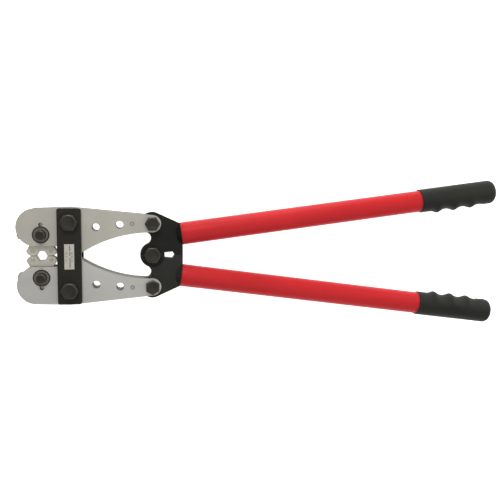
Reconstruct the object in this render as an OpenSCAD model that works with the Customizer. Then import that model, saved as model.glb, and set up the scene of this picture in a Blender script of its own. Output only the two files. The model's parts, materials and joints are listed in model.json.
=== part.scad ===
// Long-handled compound-lever crimping tool with rotary hexagon dies, lying flat, jaws closed.
// +X runs from the jaws to the grips, +Z is the face with the bolt heads.
// The frame's origin is below the middle of the tool, on the plane of the lowest bolt ends.

/* [Linkage] */
// Distance along X from the hub pin back to the two plate bolts
jaw_reach = 104; // [100:1:110]
// Half the distance between the two plate bolts
plate_bolt_y = 43.2; // [42:0.2:45]
// Half the distance between the two lever bolts
lever_bolt_y = 41.2; // [40:0.2:42]
// Distance along X from the hub pin back to the die pins
die_reach = 139; // [136:1:142]
// Half the distance between the two die pins
die_y = 27.4; // [26.5:0.1:28]

/* [Jaws] */
// Thickness of one jaw cheek
cheek_t = 6.8; // [5:0.1:9]
// Width of the slot between the two cheeks of a jaw
slot_t = 12.4; // [12:0.1:13]
// Radius of the round nose of a jaw
nose_r = 24; // [23:0.5:25]
// Radius of the jaw outline around its plate bolt
jaw_shoulder_r = 19.2; // [17:0.2:20]
// Radius of the jaw's rear eye
jaw_eye_r = 11.2; // [10.5:0.1:13]
// Radius of the two through holes in each jaw
jaw_hole_r = 4.9; // [3:0.1:6]

/* [Dies] */
// Thickness of a rotary die
die_t = 12; // [10:0.2:12]
// Radius over the six ground corners of a die
die_corner_r = 30.4; // [29:0.2:31.4]
// Width across flats of the hexagon nests, starting at the closed pair
nest_af = [12, 17, 8, 9.6, 14, 15.2]; // [6:0.1:17.5]

/* [Head plates] */
// Length of a head plate
plate_len = 122; // [118:1:128]
// Width of a head plate
plate_w = 29.6; // [26:0.2:32]
// Thickness of a head plate
plate_t = 6; // [4:0.5:8]

/* [Levers] */
// Thickness of a lever head
lever_t = 12; // [11:0.2:12]
// Radius of the hub knuckle
hub_r = 15.8; // [14:0.1:16]
// Radius of a lever head around its lever bolt
lever_eye_r = 15; // [14:0.1:15.5]
// Angle of each handle tube from the centre line
handle_tilt = 7.6; // [7:0.1:9]

/* [Handles] */
// Outer radius of a handle tube
tube_r = 14.8; // [13.5:0.1:15.5]
// Wall of a handle tube
tube_wall = 2; // [1.5:0.1:3]
// Length of a handle tube
tube_len = 432; // [400:1:450]
// Distance along the tube where the grip starts
grip_start = 334; // [320:1:345]
// Length of a grip
grip_len = 112; // [105:1:130]
// Outer radius of a grip
grip_r = 16.3; // [15.9:0.1:18]

/* [Fasteners] */
// Shank radius of the plate bolts and the hub bolt
big_shank_r = 6; // [5:0.5:6]
// Width across flats of the plate bolts and the hub bolt
big_af = 19.6; // [18:0.2:22]
// Shank radius of the lever bolts
small_shank_r = 5; // [4:0.5:5]
// Width across flats of the lever bolts
small_af = 17; // [16:0.5:18]

/* [Hidden] */
$fn = 96;
fit_gap = 0.1;
face_gap = 0.2;
part_gap = 0.1;
slot_half = slot_t / 2;
jaw_half = slot_half + cheek_t;
lever_half = lever_t / 2;
plate_z = jaw_half + face_gap;
plate_top = plate_z + plate_t;
big_head_h = 7.5;
small_head_h = 6.5;
big_nut_h = 9;
small_nut_h = 7.5;
bolt_end = 1.5;

plate_bolt = [-jaw_reach, plate_bolt_y];
lever_bolt = [0, lever_bolt_y];
die_pin = [-die_reach, die_y];
nose = [-145.4, 36.9];
rivet_at = [-25.8, 41.2];
rivet_r = 2.6;
jaw_holes = [[-71.5, 36.9], [-41.6, 39.9]];
jaw_front_y = 13.1;
heel_x = [-117, -86];
throat = [-1.5, -133];
throat_r = 163.05;

die_apothem = die_y - part_gap;
die_bore_r = 7;
die_flange_r = 10.3;
die_knob_r = 6.3;
die_knob_top = jaw_half + 10;
index_reach = 12.8;
index_r = 2.6;
index_ball_r = 2.4;
index_ball_z = -die_t / 2 - 1.4;

tube_start = [37.4, 27.5];
spigot_len = 60;
spigot_back = 6;
head_corner = [35.8, 41.4];
head_inner = [39.5, 13.5];
stop_x = [28.8, 39.6];
window_front = [15.3, 3.3];
window_rear = [25.9, 4.4];
notch_at = [-9.6, 21.8];
notch_r = 8;
tongue_half = 2;
// The lever bolt of the lower jaw is the linkage's open pivot: its bore in the lower lever
// is wide enough for the drift of a linkage whose joints turn in fixed ratios.
open_pivot_r = 9.4;
open_pivot_shift = [-1.7, 3.45];
open_pivot_travel = [-0.7, 7.8];

grip_end_round = 9;
grip_wall_gap = 0.05;
finger_pitch = 25;
finger_first = 25;
finger_r = 17.4;
finger_offset = 1.9;
label_size = [12.2, 32, 0.5];

tip_x = nose[0] - nose_r;
grip_far = grip_start + grip_len - grip_end_round;
end_x = tube_start[0] + grip_far * cos(handle_tilt)
    + (grip_r - grip_end_round) * sin(handle_tilt) + grip_end_round;
x_mid = (tip_x + end_x) / 2;
z_low = plate_top + big_nut_h + bolt_end;

// Puts the linkage, drawn around the hub pin, into the part's frame.
module placed() {
    translate([-x_mid, 0, z_low]) children();
}

module lower() {
    mirror([0, 1, 0]) children();
}

// Outline of two circles, of radius pr around p and qr around q, joined by their outer tangents.
module link2d(p, pr, q, qr) {
    d = q - p;
    dir = atan2(d[1], d[0]);
    spread = acos((pr - qr) / norm(d));
    translate(p) circle(pr);
    translate(q) circle(qr);
    polygon([
        p + pr * [cos(dir + spread), sin(dir + spread)],
        p + pr * [cos(dir - spread), sin(dir - spread)],
        q + qr * [cos(dir - spread), sin(dir - spread)],
        q + qr * [cos(dir + spread), sin(dir + spread)]]);
}

module slab(z0, z1) {
    translate([0, 0, z0]) linear_extrude(z1 - z0) children();
}

// Chamfered hexagon of a bolt head or nut, standing on Z = 0.
module hexagon(af, h) {
    corner = af / sqrt(3);
    intersection() {
        cylinder(h = h, r = corner, $fn = 6);
        rotate_extrude()
            polygon([[0, 0], [corner + 1, 0], [corner + 1, h - 1.6],
                [corner - 1.7, h], [0, h]]);
    }
}

// Bolt through the linkage: head on the +Z side, chamfered end on the -Z side.
module bolt(shank_r, af, head_h, top, bottom) {
    translate([0, 0, top]) hexagon(af, head_h);
    rotate_extrude()
        polygon([[0, bottom], [shank_r - 1, bottom], [shank_r, bottom + 1],
            [shank_r, top], [0, top]]);
}

// Lock nut under the linkage: a hexagon with a round collar.
module lock_nut(shank_r, af, h, top) {
    difference() {
        union() {
            translate([0, 0, top]) mirror([0, 0, 1]) hexagon(af, h * 0.75);
            translate([0, 0, top - h]) cylinder(h = h, r = af / 2 - 1.2);
        }
        translate([0, 0, top - h - 1]) cylinder(h = h + 2, r = shank_r + 0.02);
    }
}

module jaw2d() {
    difference() {
        union() {
            link2d(nose, nose_r, plate_bolt, jaw_shoulder_r);
            link2d(plate_bolt, jaw_shoulder_r, lever_bolt, jaw_eye_r);
            translate([nose[0], jaw_front_y])
                square([-jaw_reach - nose[0], nose[1] - jaw_front_y]);
            intersection() {
                translate(plate_bolt) circle(plate_bolt_y - 3 * part_gap);
                translate([heel_x[0], 0]) square([heel_x[1] - heel_x[0], plate_bolt_y]);
            }
            polygon([[-96, 4], [-60, 5], [-20, 20], [0, 28], [0, 40], [-96, 40]]);
        }
        translate(throat) circle(throat_r, $fn = 240);
    }
}

module at_holes() {
    for (p = jaw_holes) translate(p) children();
}

module cheek2d(die_hole_r) {
    difference() {
        jaw2d();
        translate(plate_bolt) circle(big_shank_r + fit_gap);
        translate(lever_bolt) circle(small_shank_r + fit_gap);
        translate(rivet_at) circle(rivet_r);
        at_holes() circle(jaw_hole_r);
        translate(die_pin) circle(die_hole_r);
        translate(die_pin + [0, index_reach]) circle(index_r);
    }
}

module front_cheek() {
    color("#b4b2aa") slab(slot_half, jaw_half) cheek2d(die_flange_r + 0.4);
}

module rear_cheek() {
    color("#b4b2aa") slab(-jaw_half, -slot_half) cheek2d(die_bore_r + fit_gap);
}

// Room for a lever's eye, and for its travel if it has any.
module eye_room(travel) {
    room_r = lever_eye_r + 0.8;
    if (norm(travel) > 0) link2d(lever_bolt, room_r, lever_bolt + travel, room_r);
    else translate(lever_bolt) circle(room_r);
}

// Filler between the cheeks. The room around the lever eye is stretched by eye_travel, the
// way that the eye of a lever on an open pivot drifts as the jaws turn.
module jaw_core(eye_travel) {
    color("#8f8d86") slab(-slot_half, slot_half) difference() {
        intersection() {
            jaw2d();
            translate([heel_x[0], 0]) square([120, 80]);
        }
        translate(die_pin) circle(die_corner_r + 0.6);
        eye_room(eye_travel);
        translate(plate_bolt) circle(big_shank_r + fit_gap);
        translate(rivet_at) circle(rivet_r);
        at_holes() circle(jaw_hole_r);
    }
}

module rivet() {
    color("#9a988f") translate(rivet_at)
        translate([0, 0, -jaw_half - 0.3]) cylinder(h = 2 * jaw_half + 0.6, r = rivet_r);
}

// Rotary die: a six-sided wheel with half of a hexagon nest in each side.
module die() {
    color("#b9b6a8") translate(die_pin) difference() {
        slab(-die_t / 2, die_t / 2) difference() {
            intersection() {
                circle(die_corner_r);
                circle(die_apothem / cos(30), $fn = 6);
            }
            for (i = [0:5]) rotate(60 * i) translate([0, -die_y])
                circle(nest_af[i] / sqrt(3), $fn = 6);
            circle(die_bore_r + fit_gap);
        }
        for (i = [0:5]) rotate(60 * i) translate([0, index_reach, index_ball_z])
            sphere(index_ball_r + fit_gap);
    }
}

// Die pin: knob and flange in front, shank through the die, groove for the clip behind.
module die_pin() {
    groove = -jaw_half - 0.3;
    color("#3a3835") translate(die_pin) rotate_extrude() polygon([
        [0, groove - 3], [die_bore_r - 1, groove - 3], [die_bore_r, groove - 2],
        [die_bore_r, groove - 1.2], [die_bore_r - 1.2, groove - 1.2],
        [die_bore_r - 1.2, groove], [die_bore_r, groove], [die_bore_r, slot_half + 0.2],
        [die_flange_r, slot_half + 0.2], [die_flange_r, jaw_half + 0.6],
        [die_flange_r - 1, jaw_half + 1.6], [die_knob_r, jaw_half + 1.6],
        [die_knob_r, die_knob_top - 1], [die_knob_r - 1, die_knob_top],
        [0, die_knob_top]]);
}

// Snap ring in the groove of the die pin.
module die_clip() {
    groove = -jaw_half - 0.3;
    color("#55534e") translate(die_pin) slab(groove - 1.15, groove - 0.05) difference() {
        circle(die_bore_r + 2.4);
        circle(die_bore_r - 1.15);
        translate([die_bore_r, 0]) square([6, 5], center = true);
    }
}

module index_ball() {
    color("#c8c8c8") translate(die_pin) translate([0, index_reach, index_ball_z])
        sphere(index_ball_r);
}

// Stack of cone washers that presses the ball into the die.
module index_spring() {
    low = -jaw_half + 1.2;
    high = index_ball_z - index_ball_r;
    step = (high - low) / 4;
    color("#a0a0a0") translate(die_pin) translate([0, index_reach, low])
        rotate_extrude() polygon([
            [1.2, 0], [2, 0], [2.4, step], [2, 2 * step], [2.4, 3 * step], [2, 4 * step],
            [1.2, 4 * step], [1.6, 3 * step], [1.2, 2 * step], [1.6, step]]);
}

module index_screw() {
    color("#3a3835") translate(die_pin) translate([0, index_reach, -jaw_half])
        difference() {
            cylinder(h = 1.2, r = index_r - 0.05);
            translate([0, 0, -1]) cylinder(h = 1.6, r = 1.2, $fn = 6);
        }
}

module plate_bolt_part() {
    color("#35332e") translate(plate_bolt)
        bolt(big_shank_r, big_af, big_head_h, plate_top, -z_low);
}

module plate_nut() {
    color("#35332e") translate(plate_bolt)
        lock_nut(big_shank_r, big_af, big_nut_h, -plate_top);
}

module lever_bolt_part(turn) {
    color("#35332e") translate(lever_bolt) rotate(turn)
        bolt(small_shank_r, small_af, small_head_h, jaw_half,
            -jaw_half - small_nut_h - bolt_end);
}

module lever_nut() {
    color("#35332e") translate(lever_bolt)
        lock_nut(small_shank_r, small_af, small_nut_h, -jaw_half);
}

// Rounded plate across both jaws, drilled for the two plate bolts.
module head_plate() {
    corner = 3;
    inner = [plate_w / 2 - corner, plate_len / 2 - corner];
    color("#2b2926") difference() {
        translate([-jaw_reach, 0]) slab(plate_z, plate_top) union() {
            square([2 * inner[0], plate_len], center = true);
            square([plate_w, 2 * inner[1]], center = true);
            for (x = [-1, 1], y = [-1, 1])
                translate([x * inner[0], y * inner[1]]) circle(corner);
        }
        for (y = [-1, 1]) translate([-jaw_reach, y * plate_bolt_y, 0])
            cylinder(h = plate_top + 1, r = big_shank_r + 0.05);
    }
}

module label_plate() {
    color("#d9d5d2") translate([-jaw_reach, 0, plate_top + label_size[2] / 2])
        cube(label_size, center = true);
}

// Outline of a lever head: lever eye, hub knuckle, stop face and tube end.
module lever2d() {
    difference() {
        union() {
            translate(lever_bolt) circle(lever_eye_r);
            circle(hub_r);
            polygon([[-7, 8], [12, 3], window_front, window_rear,
                [stop_x[0], part_gap], [stop_x[1], part_gap], head_inner, head_corner,
                lever_bolt + lever_eye_r * [cos(62), sin(62)], lever_bolt, [-7, 36]]);
        }
        translate(notch_at) circle(notch_r);
    }
}

module spigot() {
    translate(tube_start) rotate(handle_tilt) rotate([0, 90, 0])
        translate([0, 0, -spigot_back]) rotate_extrude()
            polygon([[0, 0], [9, 0], [tube_r, spigot_back - 0.5],
                [tube_r, spigot_back], [tube_r - tube_wall - 0.05, spigot_back],
                [tube_r - tube_wall - 0.05, spigot_len], [9, spigot_len + spigot_back],
                [0, spigot_len + spigot_back]]);
}

// Round space that the other lever's part of the hub turns in.
module hub_room(z0, z1) {
    slab(z0, z1) circle(hub_r + 0.3);
}

// Fork lever: two outer hub leaves around the other lever's tongue.
module upper_lever_body() {
    difference() {
        union() {
            slab(-lever_half, lever_half) lever2d();
            spigot();
        }
        hub_room(-tongue_half - face_gap, tongue_half + face_gap);
        translate([0, 0, -lever_half - 1])
            cylinder(h = lever_t + 2, r = big_shank_r + fit_gap);
        translate([lever_bolt[0], lever_bolt[1], -lever_half - 1])
            cylinder(h = lever_t + 2, r = small_shank_r + fit_gap);
    }
}

// Tongue lever, drawn like the upper one; its wide bore is the open pivot.
module lower_lever_body() {
    open_at = lever_bolt + [open_pivot_shift[0], -open_pivot_shift[1]];
    difference() {
        union() {
            slab(-lever_half, lever_half) lever2d();
            spigot();
        }
        hub_room(tongue_half, lever_half + 1);
        hub_room(-lever_half - 1, -tongue_half);
        translate([0, 0, -lever_half - 1])
            cylinder(h = lever_t + 2, r = big_shank_r + fit_gap);
        translate([open_at[0], open_at[1], -lever_half - 1])
            cylinder(h = lever_t + 2, r = open_pivot_r);
    }
}

module along_tube() {
    translate(tube_start) rotate(handle_tilt) rotate([0, 90, 0]) children();
}

module tube() {
    color("#cf2a2c") along_tube() translate([0, 0, 0.05]) difference() {
        cylinder(h = tube_len, r = tube_r);
        translate([0, 0, -1]) cylinder(h = tube_len + 2, r = tube_r - tube_wall);
    }
}

// Grip: a closed sleeve with a round end and three finger ridges on its inner side.
module grip() {
    far = grip_start + grip_len;
    bore_end = tube_len + 1;
    color("#2f2f2b") along_tube() difference() {
        union() {
            rotate_extrude() {
                translate([0, grip_start])
                    square([grip_r, grip_len - grip_end_round]);
                translate([0, far - grip_end_round - 1])
                    square([grip_r - grip_end_round, grip_end_round + 1]);
                intersection() {
                    translate([grip_r - grip_end_round, far - grip_end_round])
                        circle(grip_end_round);
                    translate([0, grip_start]) square([grip_r, grip_len]);
                }
            }
            for (i = [0:2])
                translate([0, -finger_offset, grip_start + finger_first + i * finger_pitch])
                    sphere(finger_r);
        }
        translate([0, 0, grip_start - 20])
            cylinder(h = bore_end - grip_start + 20, r = tube_r + grip_wall_gap);
    }
}

module front_plate() { placed() head_plate(); }
module rear_plate() { placed() mirror([0, 0, 1]) head_plate(); }
module hub_bolt() {
    color("#3a3833") placed()
        bolt(big_shank_r, big_af, big_head_h, lever_half, -lever_half - big_nut_h - bolt_end);
}
module hub_nut() {
    color("#3a3833") placed() lock_nut(big_shank_r, big_af, big_nut_h, -lever_half);
}
module upper_lever() { color("#242522") placed() upper_lever_body(); }
module lower_lever() { color("#2b2d28") placed() lower() lower_lever_body(); }

front_plate();
rear_plate();
placed() label_plate();
placed() plate_bolt_part();  // upper_plate_bolt
placed() lower() plate_bolt_part();  // lower_plate_bolt
placed() plate_nut();  // upper_plate_nut
placed() lower() plate_nut();  // lower_plate_nut
placed() front_cheek();  // upper_front_cheek
placed() rear_cheek();  // upper_rear_cheek
placed() jaw_core([0, 0]);  // upper_jaw_core
placed() rivet();  // upper_rivet
placed() die();  // upper_die
placed() die_pin();  // upper_die_pin
placed() die_clip();  // upper_die_clip
placed() index_ball();  // upper_index_ball
placed() index_spring();  // upper_index_spring
placed() index_screw();  // upper_index_screw
placed() lever_bolt_part(0);  // upper_lever_bolt
placed() lever_nut();  // upper_lever_nut
placed() lower() front_cheek();  // lower_front_cheek
placed() lower() rear_cheek();  // lower_rear_cheek
placed() lower() jaw_core(open_pivot_travel);  // lower_jaw_core
placed() lower() rivet();  // lower_rivet
placed() lower() die();  // lower_die
placed() lower() die_pin();  // lower_die_pin
placed() lower() die_clip();  // lower_die_clip
placed() lower() index_ball();  // lower_index_ball
placed() lower() index_spring();  // lower_index_spring
placed() lower() index_screw();  // lower_index_screw
placed() lower() lever_bolt_part(30);  // lower_lever_bolt
placed() lower() lever_nut();  // lower_lever_nut
upper_lever();
placed() tube();  // upper_tube
placed() grip();  // upper_grip
hub_bolt();
hub_nut();
lower_lever();
placed() lower() tube();  // lower_tube
placed() lower() grip();  // lower_grip
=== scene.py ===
"""Long-handled crimping tool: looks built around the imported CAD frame, in metres."""

import json
import math

import bmesh
import bpy
from mathutils import Matrix, Vector


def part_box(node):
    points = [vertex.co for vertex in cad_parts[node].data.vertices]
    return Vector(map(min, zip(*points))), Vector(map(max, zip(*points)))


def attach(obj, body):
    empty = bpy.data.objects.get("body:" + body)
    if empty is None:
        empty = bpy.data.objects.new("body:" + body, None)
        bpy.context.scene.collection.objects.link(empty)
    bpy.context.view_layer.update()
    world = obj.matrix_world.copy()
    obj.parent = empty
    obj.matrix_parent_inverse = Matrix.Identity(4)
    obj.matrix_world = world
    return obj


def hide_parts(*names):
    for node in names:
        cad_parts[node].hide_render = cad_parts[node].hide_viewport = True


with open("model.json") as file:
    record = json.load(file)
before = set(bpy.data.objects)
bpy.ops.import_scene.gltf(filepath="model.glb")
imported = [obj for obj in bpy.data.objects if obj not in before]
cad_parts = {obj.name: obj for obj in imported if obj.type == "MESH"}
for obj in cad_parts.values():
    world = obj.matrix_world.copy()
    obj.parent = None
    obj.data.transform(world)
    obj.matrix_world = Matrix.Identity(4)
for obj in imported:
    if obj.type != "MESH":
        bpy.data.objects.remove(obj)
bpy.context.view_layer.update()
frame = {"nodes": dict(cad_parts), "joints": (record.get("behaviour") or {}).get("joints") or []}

MM = 0.001
LOOKS_FLAT = math.radians(0.5)
LOOKS_SHARP = math.radians(38)
WALL_SLOPE = 0.7
HUB = Vector(next(j["pos_m"] for j in frame["joints"] if j["name"] == "hub_pivot"))
SIGN = {"upper": 1, "lower": -1}


def place(x, y, z=0.0):
    """A point given in millimetres from the hub, in the row frame."""
    return HUB + Vector((x, y, z)) * MM


# ---------------------------------------------------------------- camera and light

def set_camera():
    """Looks down on the tool from a little right of its jaws, leaning towards the grips."""
    view = Vector((0.1657, -0.0994, -0.9812)).normalized()
    up = Vector((0.0075, 0.9950, -0.0995))
    right = view.cross(up).normalized()
    up = right.cross(view)
    data = bpy.data.cameras.new("camera")
    data.sensor_width = 36.0
    data.lens = 47.2
    data.clip_end = 20
    camera = bpy.data.objects.new("camera", data)
    axes = Matrix((right, up, -view)).transposed().to_4x4()
    camera.matrix_world = Matrix.Translation(place(-16.2, 92.8, 866.6)) @ axes
    bpy.context.scene.collection.objects.link(camera)
    bpy.context.scene.camera = camera


def area_light(name, place_at, target, size, power, colour=(1, 1, 1)):
    data = bpy.data.lights.new(name, "AREA")
    data.shape = "DISK"
    data.size = size
    data.energy = power
    data.color = colour
    light = bpy.data.objects.new(name, data)
    light.location = place_at
    direction = Vector(target) - Vector(place_at)
    light.rotation_euler = direction.to_track_quat("-Z", "Y").to_euler()
    bpy.context.scene.collection.objects.link(light)


def set_world():
    """Soft studio surround: as white as the floor at the horizon, dimmer overhead."""
    world = bpy.data.worlds.new("studio")
    world.use_nodes = True
    tree = world.node_tree
    coordinates = tree.nodes.new("ShaderNodeTexCoord")
    parts = tree.nodes.new("ShaderNodeSeparateXYZ")
    fade = tree.nodes.new("ShaderNodeMapRange")
    for name, number in (("From Min", 0.0), ("From Max", 0.3), ("To Min", 1.0), ("To Max", 0.36)):
        fade.inputs[name].default_value = number
    background = tree.nodes["Background"]
    background.inputs["Color"].default_value = (1.0, 1.0, 1.0, 1)
    tree.links.new(coordinates.outputs["Generated"], parts.inputs["Vector"])
    tree.links.new(parts.outputs["Z"], fade.inputs["Value"])
    tree.links.new(fade.outputs["Result"], background.inputs["Strength"])
    bpy.context.scene.world = world
    bpy.context.scene.view_settings.view_transform = "Standard"


# ---------------------------------------------------------------- material tools

class Nodes:
    """Builds one node material around a Principled shader."""

    def __init__(self, name):
        self.material = bpy.data.materials.new(name)
        self.material.use_nodes = True
        self.tree = self.material.node_tree
        self.shader = self.tree.nodes["Principled BSDF"]
        self.position = self.tree.nodes.new("ShaderNodeTexCoord").outputs["Object"]

    def set(self, **values):
        """Sets shader sockets; an underscore in a name stands for a space."""
        for name, value in values.items():
            self.shader.inputs[name.replace("_", " ")].default_value = value
        return self

    def link(self, output, target):
        self.tree.links.new(output, target)

    def stretched(self, scale, turn=0.0):
        mapping = self.tree.nodes.new("ShaderNodeMapping")
        mapping.inputs["Scale"].default_value = scale
        mapping.inputs["Rotation"].default_value = (0, 0, turn)
        self.link(self.position, mapping.inputs["Vector"])
        return mapping.outputs["Vector"]

    def noise(self, scale, detail=4.0, rough=0.55, vector=None):
        noise = self.tree.nodes.new("ShaderNodeTexNoise")
        noise.inputs["Scale"].default_value = scale
        noise.inputs["Detail"].default_value = detail
        noise.inputs["Roughness"].default_value = rough
        self.link(vector or self.position, noise.inputs["Vector"])
        return noise.outputs["Fac"]

    def cells(self, scale):
        cells = self.tree.nodes.new("ShaderNodeTexVoronoi")
        cells.inputs["Scale"].default_value = scale
        self.link(self.position, cells.inputs["Vector"])
        return cells.outputs["Distance"]

    def ramp(self, value, low, high, dark, light):
        """Colour between dark at low and light at high."""
        ramp = self.tree.nodes.new("ShaderNodeValToRGB")
        for element, at, colour in zip(ramp.color_ramp.elements, (low, high), (dark, light)):
            element.position = at
            element.color = colour
        self.link(value, ramp.inputs["Fac"])
        return ramp.outputs["Color"]

    def range(self, value, low, high, start=0.3, end=0.7):
        """Maps a value between start and end to low and high."""
        remap = self.tree.nodes.new("ShaderNodeMapRange")
        for name, number in (("From Min", start), ("From Max", end), ("To Min", low), ("To Max", high)):
            remap.inputs[name].default_value = number
        self.link(value, remap.inputs["Value"])
        return remap.outputs["Result"]

    def mix(self, factor, under, over):
        mix = self.tree.nodes.new("ShaderNodeMix")
        mix.data_type = "RGBA"
        colours = [socket for socket in mix.inputs if socket.type == "RGBA"]
        self.link(factor, mix.inputs["Factor"])
        self.link(under, colours[0])
        colours[1].default_value = over
        return [socket for socket in mix.outputs if socket.type == "RGBA"][0]

    def bump(self, height, strength, distance, before=None):
        bump = self.tree.nodes.new("ShaderNodeBump")
        bump.inputs["Strength"].default_value = strength
        bump.inputs["Distance"].default_value = distance
        self.link(height, bump.inputs["Height"])
        if before is not None:
            self.link(before, bump.inputs["Normal"])
        return bump.outputs["Normal"]

    def finish(self, colour, rough, normal):
        self.link(colour, self.shader.inputs["Base Color"])
        self.link(rough, self.shader.inputs["Roughness"])
        self.link(normal, self.shader.inputs["Normal"])
        return self.material


def tint(colour, factor):
    return (*[min(1.0, part * factor) for part in colour], 1)


def satin_plate(name, colour, rough=0.45, metallic=0.35):
    """Blasted, nickel-plated steel: fine grain, cloudy tone, a few long rub marks."""
    m = Nodes(name).set(Metallic=metallic)
    cloud = m.noise(24, 5)
    tone = m.ramp(cloud, 0.3, 0.7, tint(colour, 0.93), tint(colour, 1.05))
    specks = m.noise(900, 5, 0.7)
    tone = m.mix(m.range(specks, 0, 0.3, 0.55, 0.8), tone, tint(colour, 0.7))
    rubs = m.noise(45, 7, 0.75, m.stretched((1, 12, 1), 0.6))
    tone = m.mix(m.range(rubs, 0, 0.35, 0.58, 0.75), tone, tint(colour, 1.3))
    normal = m.bump(m.noise(2400, 2), 0.1, 0.0002)
    return m.finish(tone, m.range(cloud, rough - 0.05, rough + 0.08), normal)


def ground_steel(name, colour, rough=0.34, metallic=0.5):
    """Surface-ground tool steel: fine parallel lines and small stains."""
    m = Nodes(name).set(Metallic=metallic)
    lines = m.noise(240, 5, 0.7, m.stretched((14, 0.6, 1)))
    tone = m.ramp(lines, 0.3, 0.7, tint(colour, 0.86), tint(colour, 1.1))
    stains = m.noise(150, 5, 0.65)
    tone = m.mix(m.range(stains, 0, 0.45, 0.5, 0.75), tone, tint(colour, 0.6))
    normal = m.bump(lines, 0.2, 0.0001)
    return m.finish(tone, m.range(lines, rough - 0.06, rough + 0.1), normal)


def black_coat(name, colour, rough=0.5, metallic=0.2, wear=0.3):
    """Black finish on steel: mottled, with dusty spots and rubbed lighter patches."""
    m = Nodes(name).set(Metallic=metallic, Specular_IOR_Level=0.2)
    mottle = m.noise(90, 6, 0.65)
    tone = m.ramp(mottle, 0.25, 0.75, tint(colour, 0.8), tint(colour, 1.25))
    rubs = m.noise(38, 9, 0.75, m.stretched((1, 2.5, 1), 0.3))
    tone = m.mix(m.range(rubs, 0, wear, 0.55, 0.8), tone, tint(colour, 3.0))
    specks = m.noise(1300, 4, 0.7)
    tone = m.mix(m.range(specks, 0, 0.4, 0.62, 0.8), tone, tint(colour, 4.0))
    normal = m.bump(m.noise(1500, 3), 0.15, 0.0002)
    return m.finish(tone, m.range(mottle, rough - 0.08, rough + 0.1), normal)


def red_enamel(name, colour):
    """Thick red enamel: orange peel, soft gloss, faint drift of tone, a few dark specks."""
    m = Nodes(name).set(Specular_IOR_Level=0.1)
    drift = m.noise(14, 3)
    tone = m.ramp(drift, 0.3, 0.7, tint(colour, 0.92), tint(colour, 1.05))
    streaks = m.noise(60, 5, 0.65, m.stretched((0.3, 3, 3)))
    tone = m.mix(m.range(streaks, 0, 0.25, 0.5, 0.75), tone, tint(colour, 0.75))
    specks = m.noise(520, 4, 0.6)
    tone = m.mix(m.range(specks, 0, 0.5, 0.66, 0.8), tone, tint(colour, 0.45))
    normal = m.bump(m.noise(330, 2, 0.4), 0.16, 0.0004)
    return m.finish(tone, m.range(drift, 0.34, 0.44), normal)


def pebbled_rubber(name, colour):
    """Matt black grip: fine pebble grain, greyer where hands rub it."""
    m = Nodes(name).set(Specular_IOR_Level=0.2)
    rub = m.noise(22, 5, 0.6)
    tone = m.ramp(rub, 0.3, 0.7, tint(colour, 0.85), tint(colour, 1.25))
    dust = m.noise(700, 4, 0.7)
    tone = m.mix(m.range(dust, 0, 0.4, 0.5, 0.8), tone, tint(colour, 2.4))
    normal = m.bump(m.cells(1100), 0.3, 0.0003)
    normal = m.bump(m.noise(240, 3), 0.15, 0.0006, normal)
    return m.finish(tone, m.range(rub, 0.55, 0.7), normal)


def printed_film(name, dark, light):
    """Silver label film with a faint woven print."""
    m = Nodes(name).set(Metallic=0.2)
    weave = m.noise(900, 3, 0.6, m.stretched((1, 4, 1)))
    tone = m.ramp(weave, 0.35, 0.65, dark, light)
    normal = m.bump(weave, 0.08, 0.0001)
    return m.finish(tone, m.range(weave, 0.35, 0.5), normal)


NICKEL = (0.43, 0.42, 0.365)
# a paler, cooler copy of NICKEL: painted light on the lower jaw
NICKEL_PAINTED_LIGHT = (0.48, 0.47, 0.445)
DIE = (0.55, 0.525, 0.45)
PLATE = (0.018, 0.0165, 0.012)
LEVER = (0.008, 0.0082, 0.0064)
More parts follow.
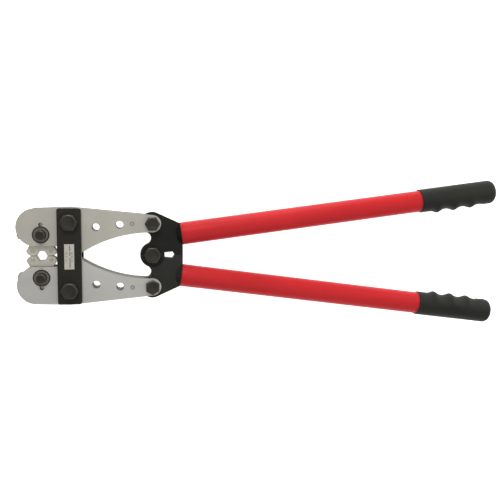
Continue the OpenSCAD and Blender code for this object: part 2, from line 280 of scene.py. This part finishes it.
# a paler copy of LEVER: painted light on the lower lever
LEVER_PAINTED_LIGHT = (0.02, 0.02, 0.0165)
OXIDE = (0.033, 0.031, 0.024)
MATERIALS = {
    "jaw": satin_plate("jaw_nickel", NICKEL),
    "cool_jaw": satin_plate("jaw_nickel_painted_light", NICKEL_PAINTED_LIGHT),
    # a darker copy of the jaw nickel on the rounded edges: painted shade outlining the jaws
    "jaw_shaded_edge": satin_plate("jaw_shaded_edge", (0.21, 0.205, 0.19), 0.35, 0.45),
    # a darker copy of the jaw nickel for the cheek walls: painted shade
    "jaw_shaded_wall": satin_plate("jaw_shaded_wall", (0.15, 0.145, 0.13), 0.55, 0.1),
    # a very dark copy of the satin nickel for the core between the cheeks: painted shade
    "core": satin_plate("core_steel", (0.07, 0.067, 0.06), 0.5),
    "die": ground_steel("die_steel", DIE),
    # a much darker copy of the die steel for the die's rounded edges and walls: painted shade
    "die_shaded_edge": ground_steel("die_shaded_edge", (0.13, 0.12, 0.1), 0.35),
    "bright": ground_steel("bright_steel", (0.36, 0.35, 0.315), 0.3),
    "flange": ground_steel("pin_flange", (0.17, 0.155, 0.125), 0.35),
    "plate": black_coat("plate_black", PLATE, 0.48),
    "plate_edge": black_coat("plate_edge", (0.05, 0.047, 0.038), 0.4, 0.4, 0.6),
    "lever": black_coat("lever_black", LEVER, 0.5, 0.1, 0.2),
    "low_lever": black_coat("lever_black_painted_light", LEVER_PAINTED_LIGHT, 0.5, 0.1, 0.2),
    "lever_edge": black_coat("lever_edge", (0.03, 0.03, 0.026), 0.45, 0.3, 0.5),
    "bolt": black_coat("bolt_oxide", OXIDE, 0.4, 0.5),
    # lighter chamfer bands on bolts, nuts and the knob: painted highlight, and wear
    "bolt_edge_wear_and_highlight": black_coat("bolt_edge_wear_and_highlight", (0.085, 0.082, 0.07), 0.35, 0.6, 0.9),
    "red": red_enamel("red_enamel", (0.53, 0.022, 0.026)),
    "grip": pebbled_rubber("grip_rubber", (0.0135, 0.0138, 0.011)),
    "label": printed_film("label_film", (0.4, 0.375, 0.33, 1), (0.58, 0.55, 0.48, 1)),
    "ink": printed_film("print_ink", (0.02, 0.02, 0.02, 1), (0.07, 0.065, 0.06, 1)),
    "mark": printed_film("mark_ink", (0.19, 0.18, 0.15, 1), (0.26, 0.25, 0.21, 1)),
}


# ---------------------------------------------------------------- CAD nodes that stay

# ending of the node's name: material, material of its rounded edges, edge width in mm
FINISH = {
    "cheek": ("jaw", "jaw_shaded_edge", 1.0), "core": ("core", "core", 0.4),
    "_die": ("die", "die_shaded_edge", 0.35), "head_plate": ("plate", "plate_edge", 1.0),
    "front_plate": ("plate", "plate_edge", 1.0), "rear_plate": ("plate", "plate_edge", 1.0),
    "label_plate": ("label", "label", 0.15), "lever": ("lever", "lever_edge", 0.9),
    "rivet": ("bright", "bolt", 0.4), "clip": ("bright", "bright", 0.15),
    # the detent ball takes the dark bolt coat: painted shade, so its hole reads black
    "ball": ("bolt", "bolt", 0), "spring": ("bright", "bright", 0),
    "screw": ("bolt", "bolt", 0.1),
}
# the lower jaw and lever have paler copies of the upper ones' coats: painted light
LOWER_PAINTED_LIGHT = {"jaw": "cool_jaw", "lever": "low_lever"}
# walls across the thickness get coats darker than the flat faces: painted shade
SHADED_WALLS = {"cheek": "jaw_shaded_wall", "_die": "die_shaded_edge"}


def soften(piece, width):
    """Joins the CAD mesh's split facets, merges its flat ones and rounds its sharp edges."""
    weld = piece.modifiers.new("weld", "WELD")
    weld.merge_threshold = 0.002 * MM
    flat = piece.modifiers.new("flat", "DECIMATE")
    flat.decimate_type = "DISSOLVE"
    flat.angle_limit = LOOKS_FLAT
    bevel = piece.modifiers.new("bevel", "BEVEL")
    bevel.width = width
    bevel.segments = 3
    bevel.limit_method = "ANGLE"
    bevel.angle_limit = LOOKS_SHARP
    bevel.material = 1
    normals = piece.modifiers.new("normals", "WEIGHTED_NORMAL")
    normals.keep_sharp = True
    normals.weight = 90


def dress_cad_nodes():
    for name, piece in frame["nodes"].items():
        finish = next((f for ending, f in FINISH.items() if name.endswith(ending)), None)
        if finish is None:
            continue
        face, edge, width = finish
        if name.startswith("lower"):
            face = LOWER_PAINTED_LIGHT.get(face, face)
        piece.data.materials.clear()
        piece.data.materials.append(MATERIALS[face])
        piece.data.materials.append(MATERIALS[edge])
        wall = next((key for ending, key in SHADED_WALLS.items() if name.endswith(ending)), face)
        piece.data.materials.append(MATERIALS[wall])
        for polygon in piece.data.polygons:
            polygon.use_smooth = True
            polygon.material_index = 2 if abs(polygon.normal.z) < WALL_SLOPE else 0
        if width:
            soften(piece, width * MM)


# ---------------------------------------------------------------- pieces made of loops

def ring(centre, z, radius, sides=72):
    """One loop around a vertical axis; z and radius may be functions of the angle."""
    points = []
    for k in range(sides):
        angle = 2 * math.pi * k / sides
        r = radius(angle) if callable(radius) else radius
        height = z(angle) if callable(z) else z
        points.append(Vector((centre.x + r * math.cos(angle), centre.y + r * math.sin(angle), height)))
    return points


def skin(name, loops, keys, node, body, closed=False, sharp=32):
    """A solid through loops of points; keys gives the material of each band between them."""
    mesh = bmesh.new()
    rows = [[mesh.verts.new(point) for point in loop] for loop in loops]
    pairs = list(zip(rows, rows[1:]))
    if closed:
        pairs.append((rows[-1], rows[0]))
    used = list(dict.fromkeys(keys))
    for band, (a, b) in enumerate(pairs):
        for k in range(len(a)):
            n = (k + 1) % len(a)
            face = mesh.faces.new((a[k], a[n], b[n], b[k]))
            face.material_index = used.index(keys[min(band, len(keys) - 1)])
    if not closed:
        mesh.faces.new(reversed(rows[0])).material_index = used.index(keys[0])
        mesh.faces.new(rows[-1]).material_index = used.index(keys[-1])
    bmesh.ops.recalc_face_normals(mesh, faces=mesh.faces)
    data = bpy.data.meshes.new(name)
    mesh.to_mesh(data)
    mesh.free()
    for polygon in data.polygons:
        polygon.use_smooth = True
    data.set_sharp_from_angle(angle=math.radians(sharp))
    for key in used:
        data.materials.append(MATERIALS[key])
    piece = bpy.data.objects.new(name, data)
    bpy.context.scene.collection.objects.link(piece)
    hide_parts(node)
    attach(piece, body)
    return piece


def hex_radius(af, turn, trim=0.0):
    """Radius of a hexagon, across flats af, as a function of the angle."""
    def radius(angle):
        off = (angle - turn) % (math.pi / 3) - math.pi / 6
        return af / 2 / math.cos(off) - trim
    return radius


def chamfer_height(af, turn, base, top, inner):
    """Where a 30 degree cone cuts the hexagon's sides; top lies away from base."""
    corner = hex_radius(af, turn)
    way = 1 if top > base else -1

    def height(angle):
        return top - way * max(0.0, corner(angle) - inner) * math.tan(math.radians(30))
    return height


def footprint(node):
    """Centre, width across flats, turn, lowest and highest z of a hexagonal node."""
    low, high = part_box(node)
    across_x = high.x - low.x
    across_y = high.y - low.y
    turn = 0.0 if across_x > across_y else math.pi / 6
    return (low + high) / 2, min(across_x, across_y), turn, low.z, high.z


def thread(radius, pitch, z):
    """Radius of a screw thread at height z, as a function of the angle."""
    def at(angle):
        phase = (z / pitch - angle / (2 * math.pi)) % 1.0
        return radius - 0.3 * MM * abs(2 * phase - 1)
    return at


def hex_bolt(node, body, head_h, shank_r):
    """Hexagon bolt: washer face, chamfered and slightly dished head, threaded end."""
    centre, af, turn, low, high = footprint(node)
    under = high - head_h * MM
    shank = shank_r * MM
    inner = 0.94 * af / 2
    pitch = 1.5 * MM
    loops = [ring(centre, low, shank - 1.3 * MM)]
    keys = ["bolt"]
    steps = 42
    for i in range(steps):
        z = low + 0.9 * MM + i * pitch / 6
        loops.append(ring(centre, z, thread(shank, pitch, z)))
        keys.append("bolt")
    top_of_thread = low + 0.9 * MM + steps * pitch / 6
    head = hex_radius(af, turn)
    loops += [
        ring(centre, top_of_thread, shank),
        ring(centre, under, shank),
        ring(centre, under, inner),
        ring(centre, under + 0.5 * MM, inner),
        ring(centre, under + 0.5 * MM, hex_radius(af, turn, 0.3 * MM)),
        ring(centre, under + 0.8 * MM, head),
        ring(centre, chamfer_height(af, turn, under, high - 0.1 * MM, inner), head),
        ring(
            centre,
            chamfer_height(af, turn, under, high + 0.02 * MM, inner),
            hex_radius(af, turn, 0.25 * MM),
        ),
        ring(centre, high - 0.12 * MM, inner),
        ring(centre, high, inner - 0.45 * MM),
        ring(centre, high - 0.05 * MM, 0.72 * af / 2),
        ring(centre, high - 0.3 * MM, 0.64 * af / 2),
    ]
    # the lighter chamfer bands are painted highlight as well as wear
    keys += ["bolt"] * 6 + ["bolt_edge_wear_and_highlight", "bolt", "bolt_edge_wear_and_highlight", "bolt", "bolt", "bolt"]
    return skin(f"{node}_detail", loops, keys, node, body)


def lock_nut(node, body, shank_r):
    """Hexagon lock nut: chamfered hexagon with a rounded collar around the bolt end."""
    centre, af, turn, low, high = footprint(node)
    height = high - low
    seat = high - 0.75 * height
    bore = shank_r * MM + 0.05 * MM
    inner = 0.94 * af / 2
    collar = 0.86 * af / 2
    hexagon = hex_radius(af, turn)
    loops = [
        ring(centre, high, bore),
        ring(centre, high, inner),
        ring(centre, chamfer_height(af, turn, seat, high, inner), hexagon),
        ring(centre, chamfer_height(af, turn, high, seat, inner), hexagon),
        ring(centre, seat, inner),
        ring(centre, seat - 0.1 * MM, collar),
        ring(centre, low + 0.7 * MM, collar),
        ring(centre, low + 0.2 * MM, collar - 0.35 * MM),
        ring(centre, low, collar - 1.0 * MM),
        ring(centre, low, bore + 0.9 * MM),
        ring(centre, low + 0.6 * MM, bore),
    ]
    # the lighter chamfer bands are painted highlight as well as wear
    keys = ["bolt", "bolt_edge_wear_and_highlight", "bolt", "bolt_edge_wear_and_highlight", "bolt", "bolt", "bolt_edge_wear_and_highlight", "bolt", "bolt"]
    return skin(f"{node}_detail", loops, keys, node, body, closed=True)


def die_pin(side):
    """Die pin: shank with a clip groove, steel flange, knurled knob with a dished end."""
    node = f"{side}_die_pin"
    low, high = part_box(node)
    centre = (low + high) / 2
    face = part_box(f"{side}_front_cheek")[1].z
    shank, flange, knob = 7.0 * MM, 10.3 * MM, 6.3 * MM
    teeth, sides = 30, 120

    def knurl(angle):
        return knob - 0.42 * MM * abs(2 * (angle * teeth / (2 * math.pi) % 1.0) - 1)

    groove = low.z + 1.8 * MM
    steps = [
        (low.z, shank - 1.0 * MM, "bolt"), (low.z + 1.0 * MM, shank, "bolt"),
        (groove, shank, "bolt"), (groove, shank - 1.2 * MM, "bolt"),
        (groove + 1.2 * MM, shank - 1.2 * MM, "bolt"), (groove + 1.2 * MM, shank, "bolt"),
        (face - 6.6 * MM, shank, "bolt"), (face - 6.6 * MM, flange, "flange"),
        (face - 0.1 * MM, flange, "bolt"), (face + 0.5 * MM, flange - 0.4 * MM, "bolt"),
        (face + 0.5 * MM, flange - 1.1 * MM, "flange"),
        (face + 0.5 * MM, flange - 2.0 * MM, "bolt"), (face + 0.2 * MM, flange - 2.3 * MM, "flange"),
        (face + 0.2 * MM, knob + 0.3 * MM, "bolt"), (face + 0.8 * MM, knurl, "bolt"),
        # the knob's top chamfer band is painted highlight as well as wear
        (high.z - 1.1 * MM, knurl, "bolt_edge_wear_and_highlight"), (high.z - 0.3 * MM, knob - 0.9 * MM, "bolt"),
        (high.z, knob - 1.5 * MM, "bolt"), (high.z - 0.1 * MM, knob - 2.6 * MM, "bolt"),
        (high.z - 0.6 * MM, knob - 3.2 * MM, "bolt"),
    ]
    loops = [ring(centre, z, radius, sides) for z, radius, key in steps]
    keys = [key for z, radius, key in steps]
    skin(f"{node}_detail", loops, keys, node, f"{side}_jaw")


# height of the head above its seat, and radius of the shank, in mm
BIG_HEAD, BIG_SHANK = 7.5, 6
SMALL_HEAD, SMALL_SHANK = 6.5, 5


def fasteners():
    for side in SIGN:
        hex_bolt(f"{side}_plate_bolt", "head", BIG_HEAD, BIG_SHANK)
        lock_nut(f"{side}_plate_nut", "head", BIG_SHANK)
        hex_bolt(f"{side}_lever_bolt", f"{side}_jaw", SMALL_HEAD, SMALL_SHANK)
        lock_nut(f"{side}_lever_nut", f"{side}_jaw", SMALL_SHANK)
        die_pin(side)
    hex_bolt("hub_bolt", "upper_handle", BIG_HEAD, BIG_SHANK)
    lock_nut("hub_nut", "upper_handle", BIG_SHANK)


# ---------------------------------------------------------------- handles

HANDLE_TILT = math.radians(7.6)
TUBE_START = (37.4, 27.5)
TUBE_R = 14.8
TUBE_WALL = 2.0
TUBE_LEN = 432.0
GRIP_START = 334.0
GRIP_END = 445.6
GRIP_R = 16.15


def handle_ring(side, along, radius, sides=72):
    """One loop around a handle; along and radius in mm, radius maybe a function of the angle.

    Angle 0 is the outer side of the handle and half a turn its inner, finger side.
    """
    points = []
    for k in range(sides):
        angle = 2 * math.pi * k / sides
        r = radius(angle) if callable(radius) else radius
        across = r * math.cos(angle)
        x = TUBE_START[0] + along * math.cos(HANDLE_TILT) - across * math.sin(HANDLE_TILT)
        y = TUBE_START[1] + along * math.sin(HANDLE_TILT) + across * math.cos(HANDLE_TILT)
        points.append(place(x, SIGN[side] * y, r * math.sin(angle)))
    return points


def make_tube(side):
    """Drawn steel tube with a rolled lip at the lever end, painted inside and out."""
    inner = TUBE_R - TUBE_WALL
    steps = [
        (0.9, inner), (0.05, inner + 0.5), (0.05, TUBE_R - 0.8), (0.35, TUBE_R - 0.25),
        (1.0, TUBE_R), (TUBE_LEN - 0.8, TUBE_R), (TUBE_LEN, TUBE_R - 0.6), (TUBE_LEN, inner),
    ]
    stations = 60
    steps[5:5] = [(1.0 + (TUBE_LEN - 2) * i / stations, TUBE_R) for i in range(1, stations)]
    loops = [handle_ring(side, along, radius, 96) for along, radius in steps]
    skin(f"{side}_tube_shell", loops, ["red"], f"{side}_tube", f"{side}_handle", closed=True)


RIDGES = ((359.0, 3.0), (384.0, 2.9), (409.0, 2.6))


def grip_radius(along, inward):
    """Radius of the grip at a distance along the tube; inward is 1 on the finger side."""
    radius = GRIP_R
    for at, height in RIDGES:
        radius += inward * height * math.exp(-(((along - at) / 4.8) ** 2))
        radius -= inward * 0.7 * math.exp(-(((along - at - 12.5) / 5.0) ** 2))
    return radius + inward * 0.5 * math.exp(-(((along - 436) / 10) ** 2))


def make_grip(side):
    """Moulded sleeve: lip at the tube, three finger ridges inside, rounded closed end."""
    lip = 1.6
    round_end = 7.8
    body_end = GRIP_END - round_end

    def sleeve(along, drop):
        def radius(angle):
            inward = max(0.0, -math.cos(angle)) ** 1.6
            return grip_radius(along, inward) + drop
        return radius

    steps = [(GRIP_START + 3, TUBE_R + 0.1), (GRIP_START + 0.3, TUBE_R + 0.1), (GRIP_START, TUBE_R + 0.5),
             (GRIP_START, sleeve(GRIP_START, -0.7)), (GRIP_START + 0.4, sleeve(GRIP_START, -0.2)),
             (GRIP_START + lip * 0.7, sleeve(GRIP_START, 0))]
    count = 140
    start = GRIP_START + lip
    for i in range(count + 1):
        along = start + (body_end - start) * i / count
        steps.append((along, sleeve(along, 0)))
    for i in range(1, 15):
        angle = math.pi / 2 * i / 14
        along = body_end + round_end * math.sin(angle)
        drop = -round_end * (1 - math.cos(angle))
        steps.append((along, sleeve(body_end, drop)))
    loops = [handle_ring(side, along, radius) for along, radius in steps]
    skin(f"{side}_grip_sleeve", loops, ["grip"], f"{side}_grip", f"{side}_handle", sharp=60)


# ---------------------------------------------------------------- print and numbers

def number(name, text, size, at, turn, body, key, slot):
    """Flat printed digits, lying face up."""
    data = bpy.data.curves.new(name, "FONT")
    data.body = text
    data.size = size
    data.extrude = 0.03 * MM
    data.align_x = "CENTER"
    data.align_y = "CENTER"
    data.materials.append(MATERIALS[key])
    piece = bpy.data.objects.new(name, data)
    piece.location = at
    piece.rotation_euler = (0, 0, turn)
    bpy.context.scene.collection.objects.link(piece)
    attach(piece, body)


def bar(name, low, high, key, body):
    """A thin printed bar between two corners."""
    mesh = bmesh.new()
    bmesh.ops.create_cube(mesh, size=1.0)
    size = high - low
    for vertex in mesh.verts:
        vertex.co = low + Vector(((vertex.co.x + 0.5) * size.x, (vertex.co.y + 0.5) * size.y,
                                  (vertex.co.z + 0.5) * size.z))
    data = bpy.data.meshes.new(name)
    mesh.to_mesh(data)
    mesh.free()
    data.materials.append(MATERIALS[key])
    piece = bpy.data.objects.new(name, data)
    bpy.context.scene.collection.objects.link(piece)
    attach(piece, body)


NEST_MARK_Y = 15.0
NUMBER_X = 11.2
NUMBER_Y = 5.6


def die_numbers():
    """Numbers beside the nest on both dies, and a mark over its middle on each cheek."""
    for side, sign in SIGN.items():
        low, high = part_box(f"{side}_die")
        middle = (low.x + high.x) / 2
        for half, shift in (("left", -NUMBER_X), ("right", NUMBER_X)):
            at = Vector((middle + shift * MM, HUB.y + sign * NUMBER_Y * MM, high.z))
            number(f"{side}_die_size_{half}", "50", 5.2 * MM, at, 0, f"{side}_jaw", "mark", "die_steel")
        cheek_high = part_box(f"{side}_front_cheek")[1]
        edge = HUB.y + sign * NEST_MARK_Y * MM
        corner = Vector((middle - 2.6 * MM, edge - 0.35 * MM, cheek_high.z - 0.01 * MM))
        other = Vector((middle + 2.6 * MM, edge + 0.35 * MM, cheek_high.z + 0.02 * MM))
        bar(f"{side}_nest_mark", corner, other, "mark", f"{side}_jaw")


def label_print():
    """Generic rows of numbers on the label, beside a broken rule."""
    low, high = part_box("label_plate")
    width = high.x - low.x
    length = high.y - low.y
    middle = low.x + 0.57 * width
    for i, (start, end) in enumerate(((0.06, 0.46), (0.54, 0.7), (0.74, 0.94))):
        corner = Vector((middle - 0.45 * MM, low.y + start * length, high.z - 0.01 * MM))
        other = Vector((middle + 0.45 * MM, low.y + end * length, high.z + 0.03 * MM))
        bar(f"label_rule_{i}", corner, other, "ink", "head")
    rows = (("10  16  25", 0.22), ("35  50  70", 0.78))
    for i, (text, across) in enumerate(rows):
        at = Vector((low.x + across * width, (low.y + high.y) / 2, high.z))
        number(f"label_sizes_{i}", text, 2.9 * MM, at, math.pi / 2, "head", "ink", "label_film")


# ---------------------------------------------------------------- floor

def floor():
    mesh = bpy.data.meshes.new("floor")
    half = 3.0
    mesh.from_pydata([(-half, -half, 0), (half, -half, 0), (half, half, 0), (-half, half, 0)],
                     [], [(0, 1, 2, 3)])
    piece = bpy.data.objects.new("floor", mesh)
    bpy.context.scene.collection.objects.link(piece)
    m = Nodes("floor_white").set(Roughness=0.9, Emission_Strength=0.9)
    m.shader.inputs["Base Color"].default_value = (0.9, 0.9, 0.9, 1)
    m.shader.inputs["Emission Color"].default_value = (1, 1, 1, 1)
    mesh.materials.append(m.material)


def main():
    set_camera()
    set_world()
    area_light("key", place(-150, 800, 900), place(50, 0), 0.5, 6.5, (1, 0.985, 0.95))
    area_light("fill", place(350, -600, 800), place(50, 0), 0.9, 1.5, (0.96, 0.98, 1))
    area_light("top", place(50, 150, 1500), place(50, 0), 1.2, 2.5)
    area_light("right", place(900, 250, 300), place(0, 0, 20), 0.4, 2.0)
    area_light("far", place(150, 1000, 160), place(150, 0, 20), 0.4, 2.5, (1, 0.98, 0.95))
    floor()
    dress_cad_nodes()
    fasteners()
    for side in SIGN:
        make_tube(side)
        make_grip(side)
    die_numbers()
    label_print()


main()
